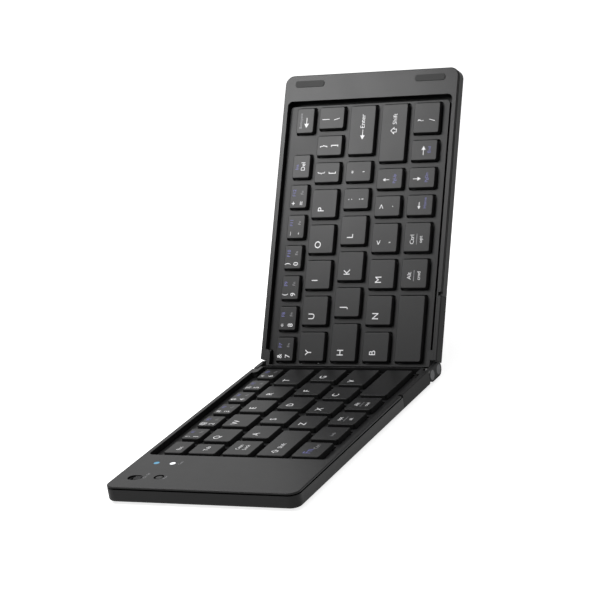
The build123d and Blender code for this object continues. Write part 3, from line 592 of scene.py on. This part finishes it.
class Printer:
    """Makes thin raised meshes of printed marks on one half."""

    CAPITAL = 0.7          # height of a capital letter as a part of the font size
    CURVE_STEPS = 3        # steps of each curved outline of a letter
    HEAD = 0.42            # length of an arrow's head as a part of the arrow
    WING = 0.24            # half the width of its head as a part of the arrow
    SHAFT = 0.16           # half the width of its shaft, millimetres
    SHARPEST = 0.3         # keeps the mitre of a sharp bend short

    def __init__(self, space: HalfSpace, palette: Palette) -> None:
        """Keep the half's coordinates and the inks."""
        self.space = space
        self.palette = palette

    def _word(self, word: Word, corner: tuple[float, float], w: float) -> bmesh.types.BMesh:
        """Mesh of a word, in the reading coordinates of the half.

        Args:
            word: The word.
            corner: (r, y) that its place counts from.
            w: Height of the face that it is printed on.

        Returns:
            A mesh in millimetres.
        """
        curve = bpy.data.curves.new("word", "FONT")
        curve.body = word.text
        curve.size = word.size / self.CAPITAL
        curve.resolution_u = self.CURVE_STEPS
        curve.extrude = INK_THICKNESS / 2
        obj = bpy.data.objects.new("word", curve)
        mesh = bpy.data.meshes.new_from_object(obj)
        bm = bmesh.new()
        bm.from_mesh(mesh)
        bpy.data.meshes.remove(mesh)
        bpy.data.objects.remove(obj)
        bpy.data.curves.remove(curve)
        across = [vert.co.x for vert in bm.verts]
        upward = [vert.co.y for vert in bm.verts]
        middle = ((min(across) + max(across)) / 2, (min(upward) + max(upward)) / 2)
        place = (corner[0] + word.right - middle[0], corner[1] - word.down - middle[1])
        bmesh.ops.translate(bm, vec=(*place, w + INK_THICKNESS / 2 - INK_SINK), verts=bm.verts)
        return bm

    def _slab(
        self, outline: list[tuple[float, float]], corner: tuple[float, float], w: float
    ) -> bmesh.types.BMesh:
        """Thin slab over a flat outline.

        Args:
            outline: (right, up) corners, anticlockwise.
            corner: (r, y) that the outline counts from.
            w: Height of the face that it is printed on.

        Returns:
            A closed mesh in millimetres.
        """
        bm = bmesh.new()
        base = w - INK_SINK
        verts = [bm.verts.new((corner[0] + x, corner[1] + y, base)) for x, y in outline]
        face = bm.faces.new(verts)
        lifted = bmesh.ops.extrude_face_region(bm, geom=[face])
        top = [item for item in lifted["geom"] if isinstance(item, bmesh.types.BMVert)]
        bmesh.ops.translate(bm, vec=(0.0, 0.0, INK_THICKNESS), verts=top)
        bmesh.ops.recalc_face_normals(bm, faces=bm.faces)
        return bm

    def _stroke(self, stroke: Stroke, corner: tuple[float, float], w: float) -> bmesh.types.BMesh:
        """Mesh of a drawn line with mitred bends."""
        points = [Vector((right, -down)) for right, down in stroke.points]
        left_side, right_side = [], []
        for i, point in enumerate(points):
            before = (point - points[i - 1]).normalized() if i else (points[1] - point).normalized()
            after = (points[i + 1] - point).normalized() if i + 1 < len(points) else before
            normal = Vector((-before.y - after.y, before.x + after.x)).normalized()
            mitre = normal.dot(Vector((-before.y, before.x)))
            reach = stroke.width / 2 / max(mitre, self.SHARPEST)
            left_side.append(tuple(point + normal * reach))
            right_side.append(tuple(point - normal * reach))
        return self._slab(right_side + left_side[::-1], corner, w)

    def _pointer(self, pointer: Pointer, corner: tuple[float, float], w: float) -> bmesh.types.BMesh:
        """Mesh of an arrow with a filled head."""
        half = pointer.length / 2
        head = pointer.length * self.HEAD
        wing = pointer.length * self.WING
        shaft = self.SHAFT
        outline = [(-half, -shaft), (half - head, -shaft), (half - head, -wing), (half, 0.0),
                   (half - head, wing), (half - head, shaft), (-half, shaft)]
        turn = Matrix.Rotation(math.radians(pointer.arrow.value), 2)
        turned = [turn @ Vector(point) for point in outline]
        placed = [(p.x + pointer.right, p.y - pointer.down) for p in turned]
        return self._slab(placed, corner, w)

    def mesh_of(self, mark: Mark, corner: tuple[float, float], w: float) -> bmesh.types.BMesh:
        """Mesh of any mark, in reading coordinates and millimetres."""
        if isinstance(mark, Word):
            return self._word(mark, corner, w)
        if isinstance(mark, Stroke):
            return self._stroke(mark, corner, w)
        return self._pointer(mark, corner, w)

    def print(
        self, name: str, body: str, placed: list[tuple[Mark, tuple[float, float], float]]
    ) -> bpy.types.Object:
        """Join marks into one piece that rides on a body.

        Args:
            name: Name of the piece.
            body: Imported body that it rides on.
            placed: Marks, each with the corner and height it counts from.

        Returns:
            The finished object.
        """
        inks = sorted({mark.ink for mark, _, _ in placed}, key=lambda ink: ink.value)
        mesh = bpy.data.meshes.new(name)
        whole = bmesh.new()
        for mark, corner, w in placed:
            part = self.mesh_of(mark, corner, w)
            index = inks.index(mark.ink)
            for face in part.faces:
                face.material_index = index
            part.to_mesh(mesh)
            part.free()
            whole.from_mesh(mesh)
            mesh.clear_geometry()
        bmesh.ops.transform(whole, matrix=self.space.matrix, verts=whole.verts)
        whole.to_mesh(mesh)
        whole.free()
        for ink in inks:
            mesh.materials.append(self.palette.inks[ink])
        obj = bpy.data.objects.new(name, mesh)
        bpy.context.scene.collection.objects.link(obj)
        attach(obj, body)
        return obj


def letter(text: str) -> tuple[Mark, ...]:
    """The large letter of a letter key."""
    return (Word(text, 4.2, 5.1, 3.2),)


def pair(upper: str, lower: str, right: float = 4.7) -> tuple[Mark, ...]:
    """Two signs of a punctuation key, one above the other."""
    return (Word(upper, right, 3.6, 2.9), Word(lower, right, 9.4, 2.9))


def digit(upper: str, lower: str, extra: str) -> tuple[Mark, ...]:
    """Shifted sign, digit and the second use of a number key."""
    return (
        Word(upper, 2.4, 2.1, 2.5),
        Word(lower, 2.4, 6.3, 2.6),
        Word(extra, 7.6, 2.2, 1.7, Ink.BLUE),
        Word("Fn", 7.6, 6.4, 1.4, Ink.GREY),
    )


def hollow_arrow(right: float, down: float) -> Stroke:
    """Outline of an arrow that points up.

    Args:
        right: Middle of the arrow, millimetres right of the cap's left edge.
        down: Middle of the arrow, millimetres below the cap's far edge.

    Returns:
        One line around the arrow.
    """
    outline = ((0.0, -1.5), (1.5, 0.1), (0.7, 0.1), (0.7, 1.4), (-0.7, 1.4), (-0.7, 0.1), (-1.5, 0.1),
               (0.0, -1.5))
    return Stroke(tuple((right + x, down + y) for x, y in outline), 0.32)


def two_names(upper: str, lower: str) -> tuple[Mark, ...]:
    """Two names of a modifier key with a line between them."""
    return (
        Word(upper, 5.9, 4.1, 2.0),
        Stroke(((3.4, 6.5), (8.6, 6.5)), 0.25, Ink.GREY),
        Word(lower, 5.9, 8.9, 1.7),
    )


LEFT_MARKS: dict[str, tuple[Mark, ...]] = {
    "esc": (Word("Esc", 4.9, 5.6, 1.9),),
    "1": digit("!", "1", "F1"), "2": digit("@", "2", "F2"), "3": digit("#", "3", "F3"),
    "4": digit("$", "4", "F4"), "5": digit("%", "5", "F5"), "6": digit("^", "6", "F6"),
    "tab": (Word("Tab", 5.4, 6.8, 2.1),),
    "caps": (Word("Caps", 8.0, 4.9, 1.9), Word("Lock", 8.0, 8.0, 1.9)),
    "shift": (hollow_arrow(4.6, 6.8), Word("Shift", 10.7, 7.2, 2.1)),
    "fn": (Word("Fn", 5.6, 5.6, 3.6, Ink.BLUE), Word("Ctrl", 10.6, 7.4, 2.0, Ink.GREY)),
    "function_lock": (Word("lock", 5.7, 8.4, 1.6, Ink.GREY),),
    "option": two_names("opt", "alt"),
    "alt": two_names("Alt", "cmd"),
    "space": (),
} | {name: letter(name.upper()) for name in "qwertasdfgzxcv"}

RIGHT_MARKS: dict[str, tuple[Mark, ...]] = {
    "7": digit("&", "7", "F7"), "8": digit("*", "8", "F8"), "9": digit("(", "9", "F9"),
    "0": digit(")", "0", "F10"), "minus": digit("_", "-", "F11"), "equals": digit("+", "=", "F12"),
    "delete": (Word("Del", 5.7, 5.6, 2.1), Word("Ins", 5.5, 2.4, 1.7, Ink.BLUE)),
    "backspace": (Pointer(5.1, 5.4, Arrow.LEFT, 5.0), Word("Backspace", 6.2, 2.5, 1.3, Ink.GREY)),
    "open_bracket": pair("{", "["), "close_bracket": pair("}", "]"),
    "backslash": pair("|", "\\"), "semicolon": pair(":", ";"), "quote": pair('"', "'"),
    "enter": (Word("Enter", 16.3, 6.8, 2.2), Pointer(9.7, 7.1, Arrow.LEFT, 4.9)),
    "comma": pair("<", ","), "period": pair(">", "."), "slash": pair("?", "/", 6.2),
    "up": (Pointer(4.4, 4.8, Arrow.UP, 3.4), Word("PgUp", 4.9, 9.3, 1.5, Ink.BLUE)),
    "left": (Pointer(4.7, 6.3, Arrow.LEFT, 3.4), Word("Home", 6.0, 9.2, 1.5, Ink.BLUE)),
    "down": (Pointer(4.4, 4.1, Arrow.DOWN, 3.9), Word("PgDn", 4.9, 9.2, 1.5, Ink.BLUE)),
    "right": (Pointer(4.7, 6.3, Arrow.RIGHT, 4.4), Word("End", 5.1, 9.2, 1.5, Ink.BLUE)),
    "shift": (hollow_arrow(15.0, 6.7), Word("Shift", 20.7, 6.9, 2.1)),
    "space": (),
    "alt": two_names("Alt", "cmd"), "ctrl": two_names("Ctrl", "opt"),
} | {name: letter(name.upper()) for name in "yuiophjklbnm"}

STRIP_MARKS: tuple[Mark, ...] = (          # counted from the left half's outer back corner
    Word("On", 11.0, 14.3, 1.2, Ink.GREY),
    Word("Off", 14.2, 14.3, 1.2, Ink.GREY),
    Word("Pair", 11.7, 23.9, 1.3, Ink.GREY),
    Word("Caps", 26.9, 23.2, 1.2, Ink.GREY),
)

KEY_NODES: dict[Side, dict[str, tuple[str, ...]]] = {
    Side.LEFT: {
        "left_space_bar": ("space",), "left_alt_keys": ("alt", "option", "function_lock"),
        "fn_key": ("fn",), "left_shift_key": ("shift",), "caps_lock_key": ("caps",),
        "tab_key": ("tab",), "escape_key": ("esc",), "keys_1_2_3": tuple("123"),
        "keys_4_5_6": tuple("456"), "keys_q_w_e": tuple("qwe"), "keys_r_t": tuple("rt"),
        "keys_a_s_d": tuple("asd"), "keys_f_g": tuple("fg"), "keys_z_x": tuple("zx"),
        "keys_c_v": tuple("cv"),
    },
    Side.RIGHT: {
        "right_space_bar": ("space",), "right_alt_ctrl_keys": ("alt", "ctrl"),
        "arrow_keys": ("left", "down", "right", "up"), "right_shift_key": ("shift",),
        "enter_key": ("enter",), "backspace_key": ("backspace",), "delete_key": ("delete",),
        "keys_7_8_9": tuple("789"), "keys_0_minus_equals": ("0", "minus", "equals"),
        "keys_y_u_i": tuple("yui"), "keys_o_p": tuple("op"),
        "bracket_keys": ("open_bracket", "close_bracket", "backslash"), "keys_h_j": tuple("hj"),
        "keys_k_l": tuple("kl"), "keys_semicolon_quote": ("semicolon", "quote"),
        "keys_b_n_m": tuple("bnm"), "keys_comma_period_slash": ("comma", "period", "slash"),
    },
}


@dataclass
class KeyField:
    """The printed legends of one half's caps.

    Attributes:
        space: The half that the caps are on.
        marks: What is printed on each cap.
    """

    space: HalfSpace
    marks: dict[str, tuple[Mark, ...]]

    def build(self, palette: Palette) -> list[bpy.types.Object]:
        """Print the legends of every key node of the half.

        Args:
            palette: The materials.

        Returns:
            One object per node that has any legend.
        """
        printer = Printer(self.space, palette)
        places = cap_places(self.space.side)
        pieces = []
        for node, caps in KEY_NODES[self.space.side].items():
            placed = [
                (mark, self.space.cap_corner(places[cap]), -CAP_TOP)
                for cap in caps for mark in self.marks[cap]
            ]
            if placed:
                pieces.append(printer.print(f"legends_{node}", f"{node}_body", placed))
        return pieces


# ---- rubber domes ---------------------------------------------------------------------------
@dataclass(frozen=True)
class DomeSheet:
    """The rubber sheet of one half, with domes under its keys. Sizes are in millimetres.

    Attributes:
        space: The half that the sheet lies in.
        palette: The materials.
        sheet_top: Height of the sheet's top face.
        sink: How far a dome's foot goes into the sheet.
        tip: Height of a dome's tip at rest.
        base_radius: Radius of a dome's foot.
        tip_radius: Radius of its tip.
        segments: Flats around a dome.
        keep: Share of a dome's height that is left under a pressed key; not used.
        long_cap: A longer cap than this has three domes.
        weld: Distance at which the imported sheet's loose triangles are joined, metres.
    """

    space: HalfSpace
    palette: Palette
    sheet_top: float = -4.65
    sink: float = 0.075
    tip: float = -1.5
    base_radius: float = 2.6
    tip_radius: float = 1.5
    segments: int = 32
    keep: float = 0.48
    long_cap: float = 20.8
    weld: float = 1e-7

    def _piece(self, name: str, bm: bmesh.types.BMesh) -> bpy.types.Object:
        """Make a rubber piece that rides on the half.

        Args:
            name: Name of the piece.
            bm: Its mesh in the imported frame, freed here.

        Returns:
            The finished object.
        """
        mesh = bpy.data.meshes.new(name)
        bm.to_mesh(mesh)
        bm.free()
        obj = bpy.data.objects.new(name, mesh)
        bpy.context.scene.collection.objects.link(obj)
        self.palette.dress(obj, self.palette.finishes["dome"])
        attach(obj, self.space.body)
        return obj

    def _flat_sheet(self, node: str, solid: bpy.types.Object) -> bpy.types.Object:
        """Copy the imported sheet, close the holes that its domes leave, and show the copy instead.

        Args:
            node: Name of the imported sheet.
            solid: Its object.

        Returns:
            The flat sheet.
        """
        bm = bmesh.new()
        bm.from_mesh(solid.data)
        bmesh.ops.remove_doubles(bm, verts=bm.verts, dist=self.weld)
        lying = self.space.matrix.inverted()
        raised = [vert for vert in bm.verts if (lying @ vert.co).z > self.sheet_top + self.sink]
        bmesh.ops.delete(bm, geom=raised, context="VERTS")
        rims = [edge for edge in bm.edges if edge.is_boundary]
        bmesh.ops.holes_fill(bm, edges=rims, sides=0)
        bmesh.ops.recalc_face_normals(bm, faces=bm.faces)
        sheet = self._piece(f"{node}_flat", bm)
        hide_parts(node)
        return sheet

    def _centres(self, cap: Cap) -> list[tuple[float, float]]:
        """(r, y) of the middle of each dome under a cap."""
        (u_low, u_high), (v_back, v_front) = cap
        count = 3 if u_high - u_low > self.long_cap else 1
        middles = [u_low + (u_high - u_low) * (i + 0.5) / count for i in range(count)]
        return [(self.space.reading_r(u), DEPTH / 2 - (v_back + v_front) / 2) for u in middles]

    def build(self, nodes: dict[str, bpy.types.Object]) -> list[bpy.types.Object]:
        """Make the sheet, and one piece of domes for each key node.

        Args:
            nodes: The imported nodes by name.

        Returns:
            The sheet and the pieces of domes.
        """
        sheet = f"{self.space.side.value}_dome_sheet"
        pieces = [self._flat_sheet(sheet, nodes[sheet])]
        places = cap_places(self.space.side)
        matrix = self.space.matrix
        foot = self.sheet_top - self.sink
        for node, caps in KEY_NODES[self.space.side].items():
            bm = bmesh.new()
            for r, y in (centre for cap in caps for centre in self._centres(places[cap])):
                middle = matrix @ Matrix.Translation((r, y, (foot + self.tip) / 2))
                bmesh.ops.create_cone(bm, cap_ends=True, segments=self.segments, radius1=self.base_radius,
                                      radius2=self.tip_radius, depth=self.tip - foot, matrix=middle)
            domes = self._piece(f"domes_{node}", bm)
            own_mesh(domes)
            pieces.append(domes)
        return pieces


# ---- studio ---------------------------------------------------------------------------------
@dataclass(frozen=True)
class Lamp:
    """A soft square lamp that the camera doesn't see.

    Attributes:
        name: Name of the lamp.
        place: Where it is, metres.
        aim: The point it faces.
        size: Side of the square.
        power: Watts.
    """

    name: str
    place: tuple[float, float, float]
    aim: tuple[float, float, float]
    size: float
    power: float

    def build(self) -> None:
        """Make the lamp."""
        light = bpy.data.lights.new(self.name, "AREA")
        light.shape = "SQUARE"
        light.size = self.size
        light.energy = self.power
        obj = bpy.data.objects.new(self.name, light)
        bpy.context.scene.collection.objects.link(obj)
        obj.location = self.place
        obj.rotation_mode = "QUATERNION"
        obj.rotation_quaternion = (Vector(self.aim) - Vector(self.place)).to_track_quat("-Z", "Y")
        obj.visible_camera = False


LAMPS = (
    Lamp("lamp_near", (-0.076, 0.172, 0.32), (0.10, 0.0, 0.11), 0.17, 1.4),
    Lamp("lamp_top", (0.0, 0.2, 1.2), (0.0, 0.0, 0.05), 1.0, 2.0),
)


@dataclass(frozen=True)
class Studio:
    """Camera, floor, backdrop and lamps.

    Attributes:
        camera_place: Where the camera is, metres.
        camera_right: Its right direction.
        camera_up: Its up direction.
        camera_back: The direction away from what it looks at.
        lens: Focal length, millimetres.
        sensor: Width of its sensor, millimetres.
        clip: Nearest and furthest distance that it sees, metres.
        floor_size: Side of the floor, metres.
        floor_shade: How pale the floor is.
        floor_roughness: How dull it is.
        floor_glow: Brightness of the floor's own white, for the eye and for mirrors.
        world_light: Strength of the world as a light; it shows as white.
    """

    camera_place: tuple[float, float, float] = (-0.8401648, -0.4544, 0.33945)
    camera_right: tuple[float, float, float] = (0.42723, -0.89107, -0.15318)
    camera_up: tuple[float, float, float] = (0.32840, -0.00491, 0.94453)
    camera_back: tuple[float, float, float] = (-0.84239, -0.45384, 0.29053)
    lens: float = 132.67
    sensor: float = 36.0
    clip: tuple[float, float] = (0.01, 50.0)
    floor_size: float = 6.0
    floor_shade: float = 0.8
    floor_roughness: float = 0.9
    floor_glow: float = 0.8
    world_light: float = 0.3

    def build_camera(self) -> None:
        """Make the camera at the photograph's viewing angle."""
        camera = bpy.data.cameras.new("camera")
        camera.sensor_width = self.sensor
        camera.lens = self.lens
        camera.clip_start, camera.clip_end = self.clip
        obj = bpy.data.objects.new("camera", camera)
        bpy.context.scene.collection.objects.link(obj)
        columns = zip(self.camera_right, self.camera_up, self.camera_back)
        obj.matrix_world = Matrix.Translation(self.camera_place) @ Matrix(tuple(columns)).to_4x4()
        bpy.context.scene.camera = obj

    @staticmethod
    def white_where_seen(
        tree: bpy.types.NodeTree, socket: bpy.types.NodeSocket, low: float, high: float
    ) -> None:
        """Drive a strength: high for camera, glossy and transmission rays, low for all others.

        Args:
            tree: Node tree that holds the socket.
            socket: The strength.
            low: Strength as a light.
            high: Strength as it is seen, directly or in a mirror.
        """
        path = tree.nodes.new("ShaderNodeLightPath")
        strength = tree.nodes.new("ShaderNodeMapRange")
        strength.inputs["To Min"].default_value = low
        strength.inputs["To Max"].default_value = high
        seen = path.outputs["Is Camera Ray"]
        for ray in ("Is Glossy Ray", "Is Transmission Ray"):
            either = tree.nodes.new("ShaderNodeMath")
            either.operation = "MAXIMUM"
            tree.links.new(seen, either.inputs[0])
            tree.links.new(path.outputs[ray], either.inputs[1])
            seen = either.outputs[0]
        tree.links.new(seen, strength.inputs["Value"])
        tree.links.new(strength.outputs["Result"], socket)

    def build_floor(self) -> None:
        """Make the floor: white to the camera and in reflections, pale in its light."""
        mesh = bpy.data.meshes.new("floor")
        bm = bmesh.new()
        bmesh.ops.create_grid(bm, x_segments=1, y_segments=1, size=self.floor_size / 2)
        bm.to_mesh(mesh)
        bm.free()
        floor = bpy.data.objects.new("floor", mesh)
        bpy.context.scene.collection.objects.link(floor)
        material = bpy.data.materials.new("pale_floor")
        material.use_nodes = True
        shader = material.node_tree.nodes["Principled BSDF"]
        shader.inputs["Base Color"].default_value = rgba((self.floor_shade,) * 3)
        shader.inputs["Roughness"].default_value = self.floor_roughness
        shader.inputs["Emission Color"].default_value = WHITE
        glow = shader.inputs["Emission Strength"]
        self.white_where_seen(material.node_tree, glow, 0.0, self.floor_glow)
        mesh.materials.append(material)

    def build_world(self) -> None:
        """Make the world: white where it is seen, softer in its light."""
        world = bpy.data.worlds.new("studio")
        bpy.context.scene.world = world
        world.use_nodes = True
        background = world.node_tree.nodes["Background"]
        background.inputs["Color"].default_value = WHITE
        self.white_where_seen(world.node_tree, background.inputs["Strength"], self.world_light, 1.0)

    def build(self) -> None:
        """Make everything around the object."""
        self.build_camera()
        self.build_floor()
        self.build_world()
        for lamp in LAMPS:
            lamp.build()
        bpy.context.scene.view_settings.view_transform = "Standard"


def main() -> None:
    """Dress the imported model, print its legends and set up the studio."""
    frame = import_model()
    palette = Palette()
    slots = {entry["node"]: entry["material_slot"] for entry in frame["record"]["subparts"]}
    for node, obj in frame["nodes"].items():
        palette.dress(obj, palette.finishes[slots[node]])
    for space, marks in ((LEFT_SPACE, LEFT_MARKS), (RIGHT_SPACE, RIGHT_MARKS)):
        pieces = KeyField(space, marks).build(palette)
        pieces += DomeSheet(space, palette).build(frame["nodes"])
        for piece in pieces:
            LOG.info("%s has %d faces", piece.name, len(piece.data.polygons))
    outer_corner = (-HALF_LENGTH, DEPTH / 2)
    strip = [(mark, outer_corner, 0.0) for mark in STRIP_MARKS]
    Printer(LEFT_SPACE, palette).print("strip_marks", LEFT_SPACE.body, strip)
    Studio().build()


if __name__ == "__main__":
    logging.basicConfig(level=logging.INFO, format="%(message)s")
    main()
